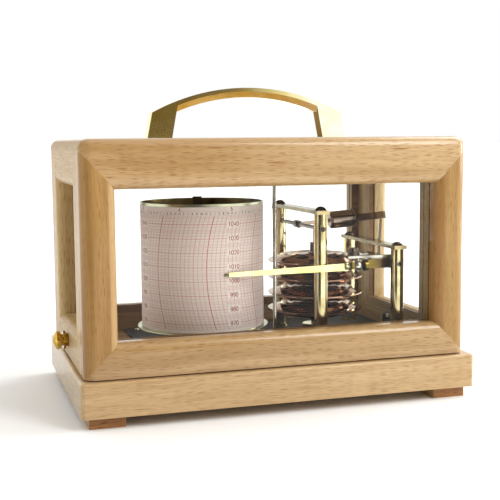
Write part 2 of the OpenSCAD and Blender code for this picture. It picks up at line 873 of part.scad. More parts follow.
// Arched handle: crown arcs about one centre, legs that lean in, chamfered underside
module handle() {
  foot = 78.5;
  in_foot = 60;
  knee = 74.5;
  knee_z = 19.2;
  r_out = (knee * knee + pow(handle_h - knee_z, 2)) / (2 * (handle_h - knee_z));
  c_out = handle_h - r_out;
  c_in = handle_h - 2.8 - 149;
  color("goldenrod") translate([0, 0, top_z]) difference() {
    rotate([90, 0, 0]) linear_extrude(handle_d, center = true) intersection() {
      polygon([[-foot, 0], [foot, 0], [knee, knee_z + 0.4], [knee, 60], [-knee, 60], [-knee, knee_z + 0.4]]);
      translate([0, c_out]) circle(r_out, $fn = 180);
    }
    intersection() {
      translate([0, 0, c_in]) rotate([90, 0, 0]) rotate_extrude($fn = 180)
        polygon([[0, -20], [149, -20], [149, -handle_d / 2], [144.8, -2], [144.8, 2],
          [149, handle_d / 2], [149, 20], [0, 20]]);
      rotate([90, 0, 0]) linear_extrude(60, center = true)
        polygon([[-in_foot, -1], [in_foot, -1], [in_foot - 11.4, 60], [-in_foot + 11.4, 60]]);
      translate([-90, -30, -0.5]) cube([180, 60, 60]);
    }
  }
}

module handle_screws() {
  color("goldenrod") for (s = [-1, 1]) {
    translate([s * 69, 0, board_z]) mirror([0, 0, 1]) {
      cylinder(h = 0.8, r = 6);
      translate([0, 0, 0.8]) dome_head(4, 2.2, 0.8);
    }
  }
}

// Knob turned about X: shank through the rail, spool outside, collar inside
module knob_shape() {
  k = knob_r;
  translate([cover_w / 2, 0, knob_z]) rotate([0, 90, 0]) {
    translate([0, 0, -wall_t - 7]) cylinder(h = wall_t + 9, r = shank_r);
    translate([0, 0, -wall_t - 7]) cylinder(h = 2.9, r = 4.6);
    rotate_extrude() {
      translate([0, 0.4]) square([4.8, 1.7]);
      translate([0, 1.9]) square([k, 1.9]);
      translate([0, 3.6]) square([4.4, 2.5]);
      translate([0, 6]) square([k, 2.1]);
      intersection() {
        translate([0, 11.2 - 9.5]) circle(9.5);
        translate([0, 8]) square([k, 5]);
      }
    }
  }
}

module knob_right() {
  color("goldenrod") knob_shape();
}

module knob_left() {
  color("goldenrod") mirror([1, 0, 0]) knob_shape();
}

base_board();
feet();
floor_panel();
felt_strip();
mechanism_plate();
plate_screws();
cover_forks();
drum_spindle();
fixed_wheel();
spindle_nut();
drum_can();
chart_paper();
chart_clip();
clock_case();
winding_key();
drive_pinion();
capsule_stud();
adjusting_nut();
capsule_1();
capsule_2();
capsule_3();
capsule_4();
capsule_stem();
lever_posts();
lever_bar();
lever_pivots();
lever_arbor();
lever_arm();
lever_strip();
steel_cylinder();
link_rod();
pen_posts();
pen_bar();
pen_pivots();
bar_screws();
pen_arbor();
crank_fork();
arm_carrier();
gate_bar();
gate_nut();
gate_ball();
pen_arm();
pen_nib();
lifter_bush();
lifter_rod();
top_board();
front_rails();
front_stiles();
rear_rails();
rear_stiles();
side_rails();
side_stiles();
glass_front();
glass_rear();
glass_sides();
glazing_beads();
handle();
handle_screws();
knob_left();
knob_right();
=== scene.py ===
import json
import math

import bmesh
import bpy
from mathutils import Matrix, Vector


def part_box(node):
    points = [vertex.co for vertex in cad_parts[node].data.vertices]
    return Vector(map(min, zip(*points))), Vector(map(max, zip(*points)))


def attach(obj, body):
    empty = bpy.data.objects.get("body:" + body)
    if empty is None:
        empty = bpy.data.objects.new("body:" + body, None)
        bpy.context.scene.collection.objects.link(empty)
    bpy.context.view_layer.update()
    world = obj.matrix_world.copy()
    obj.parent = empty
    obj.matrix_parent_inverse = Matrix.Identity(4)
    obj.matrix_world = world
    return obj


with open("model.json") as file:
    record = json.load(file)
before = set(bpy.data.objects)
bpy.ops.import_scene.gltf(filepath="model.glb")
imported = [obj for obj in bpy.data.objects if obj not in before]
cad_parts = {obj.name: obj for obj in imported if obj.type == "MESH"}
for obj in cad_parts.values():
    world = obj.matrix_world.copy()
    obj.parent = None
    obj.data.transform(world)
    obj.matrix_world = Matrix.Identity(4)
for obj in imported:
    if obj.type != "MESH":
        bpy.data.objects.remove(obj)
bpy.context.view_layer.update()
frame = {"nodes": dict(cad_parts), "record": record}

MM = 0.001
NODES = frame["nodes"]
BODY_OF = {n: b for b, names in frame["record"]["behaviour"]["bodies"].items() for n in names}


def width_mm(name):
    """How wide a piece of the frame is, in millimetres."""
    low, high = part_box(name)
    return (high[0] - low[0]) / MM


# Camera

# Place and angles of the photograph's camera in the object's frame, and its focal length on a 36 mm sensor
CAMERA_MM = (-224.62, -732.08, 188.67)
YAW, PITCH, ROLL = (math.radians(a) for a in (17.17, -6.18, -0.48))
FOCAL_MM = 71.6
SENSOR_MM = 36


def make_camera():
    forward = Vector((math.sin(YAW) * math.cos(PITCH), math.cos(YAW) * math.cos(PITCH), math.sin(PITCH)))
    level = Vector((math.cos(YAW), -math.sin(YAW), 0))
    upright = level.cross(forward)
    right = level * math.cos(ROLL) + upright * math.sin(ROLL)
    up = upright * math.cos(ROLL) - level * math.sin(ROLL)
    data = bpy.data.cameras.new("camera")
    data.sensor_width = SENSOR_MM
    data.lens = FOCAL_MM
    camera = bpy.data.objects.new("camera", data)
    turn = Matrix((right, up, -forward)).transposed().to_4x4()
    camera.matrix_world = Matrix.Translation(Vector(CAMERA_MM) * MM) @ turn
    bpy.context.scene.collection.objects.link(camera)
    bpy.context.scene.camera = camera


# Node helpers

class Nodes:
    """A node tree, with short ways to add the nodes that the world and the materials share."""

    def __init__(self, tree):
        self.tree = tree

    def add(self, kind, **inputs):
        node = self.tree.nodes.new("ShaderNode" + kind)
        for key, value in inputs.items():
            self.feed(node.inputs[key.replace("_", " ")], value)
        return node

    def feed(self, socket, value):
        if isinstance(value, bpy.types.NodeSocket):
            self.tree.links.new(value, socket)
        else:
            socket.default_value = value

    def math(self, operation, a, b=0.0, c=None):
        node = self.tree.nodes.new("ShaderNodeMath")
        node.operation = operation
        self.feed(node.inputs[0], a)
        self.feed(node.inputs[1], b)
        if c is not None:
            self.feed(node.inputs[2], c)
        return node.outputs[0]

    def plus(self, a, b):
        return self.math("ADD", a, b)

    def minus(self, a, b):
        return self.math("SUBTRACT", a, b)

    def times(self, a, b):
        return self.math("MULTIPLY", a, b)

    def gap(self, a, b):
        """How far a is from b."""
        return self.math("ABSOLUTE", self.minus(a, b))

    def split(self, vector):
        node = self.add("SeparateXYZ")
        self.feed(node.inputs[0], vector)
        return node.outputs

    def join(self, x, y, z):
        return self.add("CombineXYZ", X=x, Y=y, Z=z).outputs[0]

    def length(self, x, y):
        node = self.tree.nodes.new("ShaderNodeVectorMath")
        node.operation = "LENGTH"
        self.feed(node.inputs[0], self.join(x, y, 0.0))
        return node.outputs["Value"]

    def ramp(self, value, low, high, to_low=0.0, to_high=1.0):
        """to_low where value is under low, to_high where it is over high, and a soft change between."""
        node = self.add("MapRange", Value=value, From_Min=low, From_Max=high, To_Min=to_low, To_Max=to_high)
        node.interpolation_type = "SMOOTHSTEP"
        return node.outputs[0]

    def across(self, value, span_mm, to_low=0.0, to_high=1.0):
        """A ramp between two places in millimetres."""
        return self.ramp(value, span_mm[0] * MM, span_mm[1] * MM, to_low, to_high)

    def mix(self, share, a, b):
        node = self.tree.nodes.new("ShaderNodeMix")
        node.data_type = "RGBA"
        self.feed(node.inputs["Factor"], share)
        self.feed(node.inputs[6], a)
        self.feed(node.inputs[7], b)
        return node.outputs[2]


class Shader(Nodes):
    """A new material's node tree, with what only materials need."""

    def __init__(self, name):
        self.material = bpy.data.materials.new(name)
        self.material.use_nodes = True
        super().__init__(self.material.node_tree)
        self.surface = self.tree.nodes["Principled BSDF"]

    def place(self):
        return self.add("TexCoord").outputs["Object"]

    def normal(self):
        return self.add("TexCoord").outputs["Normal"]

    def scaled(self, vector, scale, move=(0, 0, 0)):
        return self.add("Mapping", Vector=vector, Scale=scale, Location=move).outputs[0]

    def cells(self, vector):
        """Distance to the nearest scattered point, and a random number that belongs to it."""
        node = self.add("TexVoronoi", Vector=vector, Scale=1.0)
        return node.outputs["Distance"], self.split(node.outputs["Color"])[0]

    def noise(self, vector, scale=1.0, detail=3.0, roughness=0.55):
        node = self.add("TexNoise", Vector=vector, Scale=scale, Detail=detail, Roughness=roughness)
        return node.outputs["Fac"]

    def clouded(self, clouds, bright, dull):
        return self.mix(self.ramp(clouds, 0.35, 0.75), bright, dull)

    def bump(self, height, strength, distance):
        node = self.add("Bump", Strength=strength, Distance=distance, Height=height)
        self.feed(self.surface.inputs["Normal"], node.outputs[0])

    def set(self, **inputs):
        for key, value in inputs.items():
            self.feed(self.surface.inputs[key.replace("_", " ")], value)
        return self.material


def rgb(red, green, blue):
    """A screen colour from 0 to 255 as the linear colour that shaders take."""
    def linear(c):
        c /= 255
        return c / 12.92 if c <= 0.04045 else ((c + 0.055) / 1.055) ** 2.4
    return (linear(red), linear(green), linear(blue), 1)


# Wood

LIGHT_BEECH = rgb(192, 161, 115)
MID_BEECH = rgb(166, 133, 84)
RAY_FLECK = rgb(138, 98, 54)
# Dark knot marks; also the colour of the painted shade on the left end and beside the right stile's window
# edge
KNOT_MARK_AND_PAINTED_SHADE = rgb(134, 84, 42)
END_BEECH = rgb(168, 144, 104)
# Colour of the painted highlight on the left stile's edge beside the window
PAINTED_HIGHLIGHT_BEECH = rgb(206, 176, 130)

# How often each feature of the wood repeats in a metre, along the grain and then across it both ways
SWAY = (8, 12, 12)
BANDS = (3.2, 70, 90)
PATCHES = (6, 17, 17)
STREAKS = (26, 420, 480)
FIBRES = (90, 1500, 1700)
FLECKS = (118, 1250, 1350)
DARK_MARKS = (22, 240, 280)
END_RINGS = (4, 60, 620)
PORES = (900, 900, 900)

# How far the grain drifts, and how deep a ray fleck lies
SWAY_MM = 8
FLECK_DEPTH_MM = 0.2
# The axes along the grain and across it, for each way that a board can run
GRAIN_AXES = {"X": (0, 1, 2), "Y": (1, 0, 2), "Z": (2, 1, 0)}

# Where the painted shade on the left end begins to fade and where it is gone, from the middle of the object
PAINTED_LEFT_SHADE_MM = (-150, 120)
# Painted highlight and painted shade beside the window: where the left stile turns pale and where the right
# one is dark, from the window's edge, and what parts left from right, from the middle
PAINTED_HIGHLIGHT_EDGE_MM = (-5.6, -4.4)
PAINTED_SHADE_EDGE_MM = (4, 9)
MIDDLE_MM = (-10, 10)


def window_edge():
    """How far the inner edges of the front stiles are from the middle."""
    return min(abs(corner.co.x) for corner in NODES["front_stiles"].data.vertices)


def grain_space(s, parts, axes, offset):
    """The place along and across the grain, straight and with the slow drift of a real board."""
    turned = s.join(*(parts[i] for i in axes))
    straight = s.scaled(turned, (1, 1, 1), (offset, offset * 0.37, offset * 0.61))
    sway = s.times(s.minus(s.noise(s.scaled(straight, SWAY), detail=1), 0.5), SWAY_MM * MM)
    along, across, through = s.split(straight)
    return straight, s.join(along, s.plus(across, sway), s.plus(through, sway))


def stile_edge_highlight_and_shade(s, tone, x, edge):
    """A painted highlight on the left stile's edge beside the window, and a painted shade on the right
    stile's edge.
    """
    # Painted highlight on the left stile's edge beside the window
    pale = s.times(s.across(s.plus(x, edge), PAINTED_HIGHLIGHT_EDGE_MM), s.across(x, MIDDLE_MM, 0.35, 0))
    tone = s.mix(pale, tone, PAINTED_HIGHLIGHT_BEECH)
    # Painted shade on the right stile's edge beside the window
    return s.mix(s.across(s.gap(x, edge), PAINTED_SHADE_EDGE_MM, 0.45, 0), tone, KNOT_MARK_AND_PAINTED_SHADE)


def end_grain(s, straight, bent, sawn, light, fleck):
    rings = s.noise(s.scaled(bent, END_RINGS), detail=2)
    ends = s.mix(s.ramp(rings, 0.35, 0.7), sawn, s.mix(0.5, sawn, light))
    pores = s.noise(s.scaled(straight, PORES), detail=1)
    return s.mix(s.ramp(pores, 0.55, 0.75, 0, 0.4), ends, fleck)


def wood(name, along, light=LIGHT_BEECH, mid=MID_BEECH, fleck=RAY_FLECK, offset=0.0, gloss=0.1,
         lean=0.0, coat=0.5, flecks=0.85, edge=None, sawn=END_BEECH, end_coat=None):
    """Varnished beech: long soft growth bands, fine fibre, short dark ray flecks, sawn end grain.

    offset moves the pattern, so that boards differ. lean darkens the left, a painted shade. flecks is the
    strength of the ray flecks. edge, which only the stiles have, adds a painted highlight and a painted
    shade beside the window. sawn is the colour of the end grain, and end_coat is its varnish where that
    isn't the same as coat.
    """
    s = Shader(name)
    parts = s.split(s.place())
    axes = GRAIN_AXES[along]
    straight, bent = grain_space(s, parts, axes, offset)
    bands = s.noise(s.scaled(bent, BANDS))
    tone = s.mix(s.ramp(bands, 0.34, 0.66), light, mid)
    patch = s.noise(s.scaled(straight, PATCHES), detail=2)
    tone = s.mix(s.ramp(patch, 0.4, 0.75, 0, 0.6), tone, mid)
    # Painted shade: the left end darkens, as if the light came from the right
    if lean:
        tone = s.mix(s.across(parts[0], PAINTED_LEFT_SHADE_MM, lean, 0), tone, KNOT_MARK_AND_PAINTED_SHADE)
    streak = s.noise(s.scaled(bent, STREAKS), roughness=0.6)
    tone = s.mix(s.ramp(streak, 0.48, 0.78, 0, 0.36), tone, fleck)
    fibre = s.noise(s.scaled(bent, FIBRES), detail=2)
    tone = s.mix(s.ramp(fibre, 0.4, 0.8, 0, 0.35), tone, fleck)
    away, chance = s.cells(s.scaled(bent, FLECKS))
    marks = s.times(s.ramp(away, 0.2, 0.48, 1, 0), s.ramp(chance, 0.1, 0.9, 0.1 * flecks, flecks))
    tone = s.mix(marks, tone, fleck)
    away, chance = s.cells(s.scaled(bent, DARK_MARKS))
    rare = s.times(s.ramp(away, 0.06, 0.24, 1, 0), s.ramp(chance, 0.7, 0.88, 0, 0.85))
    tone = s.mix(rare, tone, KNOT_MARK_AND_PAINTED_SHADE)
    # Painted highlight and painted shade on the stiles beside the window
    if edge:
        tone = stile_edge_highlight_and_shade(s, tone, parts[0], edge)
    facing = s.math("ABSOLUTE", s.split(s.normal())[axes[0]])
    cut = s.ramp(facing, 0.72, 0.95)
    tone = s.mix(cut, tone, end_grain(s, straight, bent, sawn, light, fleck))
    s.bump(s.minus(0.5, s.times(marks, s.minus(1.0, cut))), 0.12, FLECK_DEPTH_MM * MM)
    varnish = coat if end_coat is None else s.ramp(facing, 0.3, 0.7, coat, end_coat)
    return s.set(Base_Color=tone, Roughness=s.ramp(fibre, 0.2, 0.8, 0.34, 0.48), Specular_IOR_Level=0.12,
                 Coat_Weight=varnish, Coat_Roughness=gloss, Coat_IOR=1.46)


# Metals

# How often fine lines and dark specks repeat in a metre, along each axis
EVEN_LINES = (900, 900, 900)
TURNED_LINES = (300, 300, 2600)
CAN_LINES = (500, 500, 3000)
ARM_LINES = (150, 2400, 2400)
SPECKS = (520, 520, 520)
METAL_RELIEF = 0.05 * MM
OLD_SPOT = rgb(92, 66, 34)

# Where a metal's colour changes, from the middle of the object or from the drum's axis, and how ragged the
# carrier's border is
# The handle's painted sheen, and the right leg whose inner face has a painted dark reflection
HANDLE_PAINTED_SHEEN_MM = (30, 55)
HANDLE_LEG_MM = (20, 30)
CARRIER_BROWN_MM, CARRIER_RAGGED_MM = (74, 98), 12
# The case's side, inside which the knob's shank is painted dark, a painted shade
CASE_SIDE_MM = (width_mm("top_board") / 2 - 1.5, width_mm("top_board") / 2 - 0.5)
# Where the arm's painted shade begins, at its bend
ARM_PAINTED_SHADE_MM = (63.8, 65.2)
# The can's wall, inside which a painted shade darkens the sheet
CAN_WALL_MM = (45.1, 45.5)


def metal(name, colour, dull, rough, wear=0.06, grain=EVEN_LINES, bump=0.05, speck=0.0):
    """Metal with tarnish clouds, dark specks, and fine lines across the axis where grain is largest."""
    s = Shader(name)
    place = s.place()
    clouds = s.noise(place, scale=70, detail=4)
    lines = s.noise(s.scaled(place, grain), roughness=0.6)
    tone = s.mix(s.ramp(lines, 0.3, 0.8, 0, 0.18), s.clouded(clouds, colour, dull), dull)
    away, chance = s.cells(s.scaled(place, SPECKS))
    spots = s.times(s.ramp(away, 0.12, 0.3, 1, 0), s.ramp(chance, 0.6, 0.9, 0, 0.35 + speck))
    tone = s.mix(spots, tone, OLD_SPOT)
    spread = s.plus(s.ramp(clouds, 0.3, 0.8, rough, rough + wear), s.ramp(lines, 0.2, 0.8, -0.02, 0.04))
    s.bump(lines, bump, METAL_RELIEF)
    return s.set(Base_Color=tone, Metallic=1.0, Roughness=spread)


def handle_metal(name):
    """Polished strip with a painted sheen, paler to the right, and a painted dark reflection in olive on
    the rougher inner face of the right leg.
    """
    s = Shader(name)
    place = s.place()
    x = s.split(place)[0]
    clouds = s.noise(place, scale=70, detail=4)
    left = s.clouded(clouds, rgb(252, 240, 180), rgb(242, 222, 138))
    right = s.clouded(clouds, rgb(253, 249, 228), rgb(248, 241, 206))
    # Painted sheen: the right part of the strip is paler
    tone = s.mix(s.across(x, HANDLE_PAINTED_SHEEN_MM), left, right)
    # Painted dark reflection: the inner face of the right leg turns olive
    inner = s.times(s.ramp(s.split(s.normal())[0], -0.8, -0.6, 1, 0), s.across(x, HANDLE_LEG_MM))
    tone = s.mix(inner, tone, rgb(150, 122, 52))
    s.bump(s.noise(s.scaled(place, EVEN_LINES)), 0.04, METAL_RELIEF)
    return s.set(Base_Color=tone, Metallic=1.0, Roughness=s.ramp(inner, 0.0, 1.0, 0.08, 0.6))


def bar_metal(name):
    """Brass bar painted dark olive, a painted dark reflection, with its front-facing end faces painted pale
    and less metallic, a painted highlight.
    """
    s = Shader(name)
    clouds = s.noise(s.place(), scale=70, detail=4)
    # Painted dark reflection: the bar's brass is olive
    painted_dark_reflection = s.clouded(clouds, rgb(132, 116, 76), rgb(92, 78, 50))
    # Painted highlight: faces that face the front are pale and less metallic
    end = s.ramp(s.split(s.normal())[1], -0.9, -0.7, 1, 0)
    s.bump(clouds, 0.04, METAL_RELIEF)
    return s.set(Base_Color=s.mix(end, painted_dark_reflection, rgb(226, 204, 146)), Metallic=s.ramp(end, 0.0, 1.0, 1.0, 0.3),
                 Roughness=s.ramp(clouds, 0.3, 0.8, 0.14, 0.22))


def carrier_metal(name):
    """Brass that has gone brown towards the pen shaft."""
    s = Shader(name)
    place = s.place()
    clouds = s.noise(place, scale=160)
    along = s.math("MULTIPLY_ADD", s.minus(clouds, 0.5), CARRIER_RAGGED_MM * MM, s.split(place)[0])
    tone = s.mix(s.across(along, CARRIER_BROWN_MM), rgb(136, 116, 44), rgb(78, 58, 42))
    s.bump(clouds, 0.05, METAL_RELIEF)
    return s.set(Base_Color=tone, Metallic=1.0, Roughness=s.ramp(clouds, 0.3, 0.8, 0.12, 0.24))


def knob_metal(name):
    """Polished brass outside the case; the shank inside it is painted dark, a painted shade."""
    s = Shader(name)
    place = s.place()
    out = s.math("ABSOLUTE", s.split(place)[0])
    clouds = s.noise(place, scale=90)
    bright = s.clouded(clouds, rgb(222, 188, 94), rgb(166, 126, 50))
    # Painted shade: inside the case's side the shank is dark
    tone = s.mix(s.across(out, CASE_SIDE_MM), rgb(74, 64, 48), bright)
    s.bump(clouds, 0.04, METAL_RELIEF)
    return s.set(Base_Color=tone, Metallic=1.0, Roughness=s.ramp(clouds, 0.3, 0.8, 0.05, 0.12))


def arm_metal(name):
    """Thin polished strip, painted dark brown beyond where it is bent back to the ball, a painted shade
    where it turns from the light.
    """
    s = Shader(name)
    place = s.place()
    clouds = s.noise(place, scale=120)
    bright = s.clouded(clouds, rgb(250, 242, 176), rgb(238, 224, 144))
    # Painted shade: beyond the bend the strip turns dark brown
    tone = s.mix(s.across(s.split(place)[0], ARM_PAINTED_SHADE_MM), bright, rgb(112, 98, 44))
    s.bump(s.noise(s.scaled(place, ARM_LINES), detail=2), 0.04, METAL_RELIEF)
    return s.set(Base_Color=tone, Metallic=1.0, Roughness=s.ramp(clouds, 0.3, 0.8, 0.08, 0.18))


def can_metal(name):
    """The drum's sheet: pale outside and on its rim, painted dark olive inside, a painted shade in the
    hollow.
    """
    s = Shader(name)
    place = s.place()
    x, y, _ = s.split(place)
    axis_x, axis_y = drum_axis()
    inside = s.across(s.length(s.minus(x, axis_x), s.minus(y, axis_y)), CAN_WALL_MM, 1, 0)
    clouds = s.noise(place, scale=60, detail=4)
    pale = s.clouded(clouds, rgb(206, 204, 176), rgb(176, 176, 150))
    # Painted shade: the inside of the can is a darker olive
    dark = s.mix(s.ramp(clouds, 0.3, 0.7), rgb(176, 156, 110), rgb(128, 110, 76))
    s.bump(s.noise(s.scaled(place, CAN_LINES), detail=2), 0.05, METAL_RELIEF)
    return s.set(Base_Color=s.mix(inside, pale, dark), Metallic=1.0,
                 Roughness=s.ramp(inside, 0.0, 1.0, 0.28, 0.42))


# Enamel, felt and glass

DUST, ENAMEL_CLOUD = rgb(170, 160, 145), rgb(60, 54, 48)
PEEL_MM, NAP_MM = 0.1, 0.3
# Share of light that a pane mirrors when it is seen straight on, and what it gains at a grazing view
STRAIGHT_MIRROR, GRAZING_MIRROR = 0.008, 0.3


def lacquer(name, colour, rough, level=0.5, coat=0.5, dusty=0.12):
    """Enamel with faint orange peel and dust."""
    s = Shader(name)
    place = s.place()
    peel = s.noise(place, scale=420, detail=2)
    dust = s.noise(place, scale=1900, detail=1)
    clouds = s.noise(place, scale=26)
    tone = s.mix(s.ramp(dust, 0.62, 0.8, 0, dusty), colour, DUST)
    tone = s.mix(s.ramp(clouds, 0.4, 0.8, 0, 0.3), tone, ENAMEL_CLOUD)
    s.bump(peel, 0.06, PEEL_MM * MM)
    return s.set(Base_Color=tone, Roughness=s.ramp(peel, 0.3, 0.8, rough, rough + 0.08),
                 Specular_IOR_Level=level, Coat_Weight=coat, Coat_Roughness=0.05)


def felt(name):
    """Matt brown felt with a fuzzy nap."""
    s = Shader(name)
    nap = s.noise(s.place(), scale=2600)
    tone = s.mix(s.ramp(nap, 0.3, 0.7), rgb(98, 64, 33), rgb(128, 89, 50))
    s.bump(nap, 0.5, NAP_MM * MM)
    return s.set(Base_Color=tone, Roughness=0.95, Sheen_Weight=0.3)


def glass(name):
    """A clear pane: what is behind it shows straight through, under a faint reflection."""
    s = Shader(name)
    smear = s.noise(s.place(), scale=16, detail=2)
    s.set(Base_Color=rgb(255, 255, 255), Metallic=1.0, Roughness=s.ramp(smear, 0.4, 0.9, 0.01, 0.04))
    clear = s.add("BsdfTransparent", Color=rgb(252, 253, 252))
    facing = s.add("LayerWeight", Blend=0.5).outputs["Facing"]
    share = s.math("MULTIPLY_ADD", s.math("POWER", facing, 5.0), GRAZING_MIRROR, STRAIGHT_MIRROR)
    both = s.add("MixShader")
    s.feed(both.inputs[0], share)
    s.feed(both.inputs[1], clear.outputs[0])
    s.feed(both.inputs[2], s.surface.outputs[0])
    s.feed(s.tree.nodes["Material Output"].inputs["Surface"], both.outputs[0])
    return s.material


# Chart paper

# The lowest bold pressure line and the distance to the next, the height of the pen's pivot and its reach
PRESSURE_LOW_MM, PRESSURE_STEP_MM = 58.7, 10.3
PEN_PIVOT_MM, ARC_MM = 96.6, 136
# How far the drum turns in a day, where the sheet's ends meet, and the day that is printed there
DEGREES_A_DAY, SEAM_DEGREES, FIRST_DAY = 47.6, 80, 0.234
PAPER_RADIUS_MM = width_mm("chart_paper") / 2
DAY_MM = math.radians(DEGREES_A_DAY) * PAPER_RADIUS_MM
# Ruled lines: how many each day or pressure step has, their width as a share of the gap, and how dark
TIME_LINES = ((12, 0.13, 0.5), (4, 0.05, 0.62), (1, 0.017, 0.95))
LEVEL_LINES = ((5, 0.14, 0.48), (2, 0.05, 0.4), (1, 0.036, 0.85))
# Where the ruled field fades in and out, the height of each border line, and its half width
FIELD_FOOT_MM, FIELD_TOP_MM = (54.6, 54.9), (136.8, 137.1)
BORDER_HEIGHTS_MM, BORDER_MM = (54.8, 137.0, 140.0), (0.08, 0.2)
# Pressure numbers: their place in every second day, and half the width and height of the blank behind each
NUMBER_DAY = 0.54
BLANK_WIDE_MM, BLANK_HIGH_MM = (5.0, 5.6), (2.0, 2.5)
# How much of the ruling a blank hides, and how deep the fibres of the paper are
BLANK_HIDES, FIBRE_MM = 0.92, 0.1
PAPER, PAPER_SHADE, BLANK_PAPER = rgb(231, 215, 210), rgb(217, 200, 196), rgb(240, 228, 222)
RULING = rgb(186, 100, 82)


def drum_axis():
    low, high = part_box("spindle_nut")
    return (low[0] + high[0]) / 2, (low[1] + high[1]) / 2


def off_line(s, position):
    """How far position is from the nearest whole number."""
    return s.gap(s.math("FRACT", s.plus(position, 0.5)), 0.5)


def rulings(s, position, kinds):
    """The darkest of several kinds of line, which all lie on whole numbers of their own steps."""
    lines = 0.0
    for count, width, dark in kinds:
        mask = s.ramp(off_line(s, s.times(position, count)), width * 0.25, width * 0.75, 1, 0)
        lines = s.math("MAXIMUM", lines, s.times(mask, dark))
    return lines


def days_along(s, x, y):
    """The day that is printed at a place of the drum, at the height of the pen's pivot."""
    axis_x, axis_y = drum_axis()
    angle = s.math("ARCTAN2", s.minus(y, axis_y), s.minus(x, axis_x))
    past_seam = s.minus(angle, math.radians(SEAM_DEGREES))
    turn = s.math("FRACT", s.math("MULTIPLY_ADD", past_seam, 1 / math.tau, 1.0))
    return s.math("MULTIPLY_ADD", turn, 360 / DEGREES_A_DAY, FIRST_DAY)


def arc_sweep(s, z):
    """How far a time line has curved aside at a height, as the pen does."""
    lift = s.minus(z, PEN_PIVOT_MM * MM)
    reach = s.math("SQRT", s.minus((ARC_MM * MM) ** 2, s.times(lift, lift)))
    return s.minus(ARC_MM * MM, reach)


def number_blanks(s, along, level):
    """1 behind the pressure numbers, which stand on the bold lines of every second day."""
    column = s.math("FRACT", s.math("MULTIPLY_ADD", along, 0.5, 0.5 - NUMBER_DAY / 2))
    beside = s.times(s.gap(column, 0.5), 2 * DAY_MM)
    above = s.times(off_line(s, level), PRESSURE_STEP_MM)
    return s.times(s.ramp(beside, *BLANK_WIDE_MM, 1, 0), s.ramp(above, *BLANK_HIGH_MM, 1, 0))


def chart(name):
    """Recorder paper wrapped round the drum: level pressure lines and curved time lines in brick red."""
    s = Shader(name)
    place = s.place()
    x, y, z = s.split(place)
    along = days_along(s, x, y)
    days = s.minus(along, s.math("DIVIDE", arc_sweep(s, z), DAY_MM * MM))
    level = s.math("DIVIDE", s.minus(z, PRESSURE_LOW_MM * MM), PRESSURE_STEP_MM * MM)
    lines = s.math("MAXIMUM", rulings(s, days, TIME_LINES), rulings(s, level, LEVEL_LINES))
    field = s.times(s.across(z, FIELD_FOOT_MM), s.across(z, FIELD_TOP_MM, 1, 0))
    blank = number_blanks(s, along, level)
    ruled = s.times(s.times(lines, field), s.math("MULTIPLY_ADD", blank, -BLANK_HIDES, 1.0))
    for height_mm in BORDER_HEIGHTS_MM:
        border = s.across(s.gap(z, height_mm * MM), BORDER_MM, 0.4, 0)
        ruled = s.math("MAXIMUM", ruled, border)
    fibre = s.noise(place, scale=1500)
    patch = s.noise(place, scale=30, detail=2)
    sheet = s.mix(s.ramp(fibre, 0.35, 0.7), PAPER, PAPER_SHADE)
    sheet = s.mix(s.ramp(patch, 0.4, 0.8, 0, 0.35), sheet, PAPER_SHADE)
    sheet = s.mix(s.times(blank, 0.5), sheet, BLANK_PAPER)
    s.bump(fibre, 0.15, FIBRE_MM * MM)
    return s.set(Base_Color=s.mix(ruled, sheet, RULING), Roughness=0.72)


def ink(name, colour):
    """Printer's ink on paper, a little broken where the fibres stand up."""
    s = Shader(name)
    fibre = s.noise(s.place(), scale=2400)
    return s.set(Base_Color=s.mix(s.ramp(fibre, 0.45, 0.75, 0, 0.5), colour, PAPER_SHADE), Roughness=0.7)


# Printed numbers of the chart

def oval(half_width, middle, half_height, steps=10):
    """A closed loop in a digit's box, which is 1 wide and 1 high."""
    turns = [math.tau * i / steps for i in range(steps + 1)]
    return [(0.5 + half_width * math.sin(turn), middle + half_height * math.cos(turn)) for turn in turns]


LOOP_SIX = oval(0.5, 0.3, 0.3)
STROKES = {
    "0": [oval(0.5, 0.5, 0.5, 12)],
    "1": [[(0.2, 0.8), (0.55, 1), (0.55, 0)]],
    "2": [[(0.05, 0.76), (0.2, 0.95), (0.5, 1), (0.85, 0.92), (0.95, 0.7), (0.8, 0.46), (0, 0), (1, 0)]],
    "3": [[(0.05, 0.9), (0.4, 1), (0.8, 0.95), (0.95, 0.76), (0.8, 0.57), (0.4, 0.53)],
          [(0.4, 0.53), (0.85, 0.47), (1, 0.26), (0.8, 0.05), (0.4, 0), (0, 0.1)]],
    "4": [[(0.75, 0), (0.75, 1), (0, 0.3), (1, 0.3)]],
    "5": [[(0.9, 1), (0.15, 1), (0.08, 0.55), (0.5, 0.62), (0.9, 0.5), (1, 0.28), (0.8, 0.06),
           (0.4, 0), (0, 0.1)]],
    "6": [LOOP_SIX, [(0.85, 0.97), (0.5, 1), (0.15, 0.75), (0, 0.3)]],
    "7": [[(0, 1), (1, 1), (0.35, 0)]],
    "8": [oval(0.4, 0.77, 0.23), oval(0.5, 0.27, 0.27)],
    "9": [[(1 - u, 1 - v) for u, v in LOOP_SIX], [(0.15, 0.03), (0.5, 0), (0.85, 0.25), (1, 0.7)]],
}

# Width of a digit and of the space after it, as shares of its height, and how far the ink is off the paper
DIGIT_WIDE, DIGIT_SPACE = 0.56, 0.2
INK_LIFT_MM = 0.04
LOWEST_PRESSURE, PRESSURE_STEP, PRESSURE_ROWS = 970, 10, 8
# Height of the digits and thickness of their strokes, in mm
PRESSURE_DIGITS, DAY_DIGITS, HOUR_DIGITS = (3.1, 0.58), (2.2, 0.6), (1.35, 0.3)
DAY_ROW_MM, HOUR_ROW_MM = 141.5, 138.5
# How far a number has to be from the seam, as a part of a day, and how many days the sheet begins
PRESSURE_MARGIN, DAY_MARGIN, HOUR_MARGIN = 0.2, 0.1, 0.05
DAYS = 8


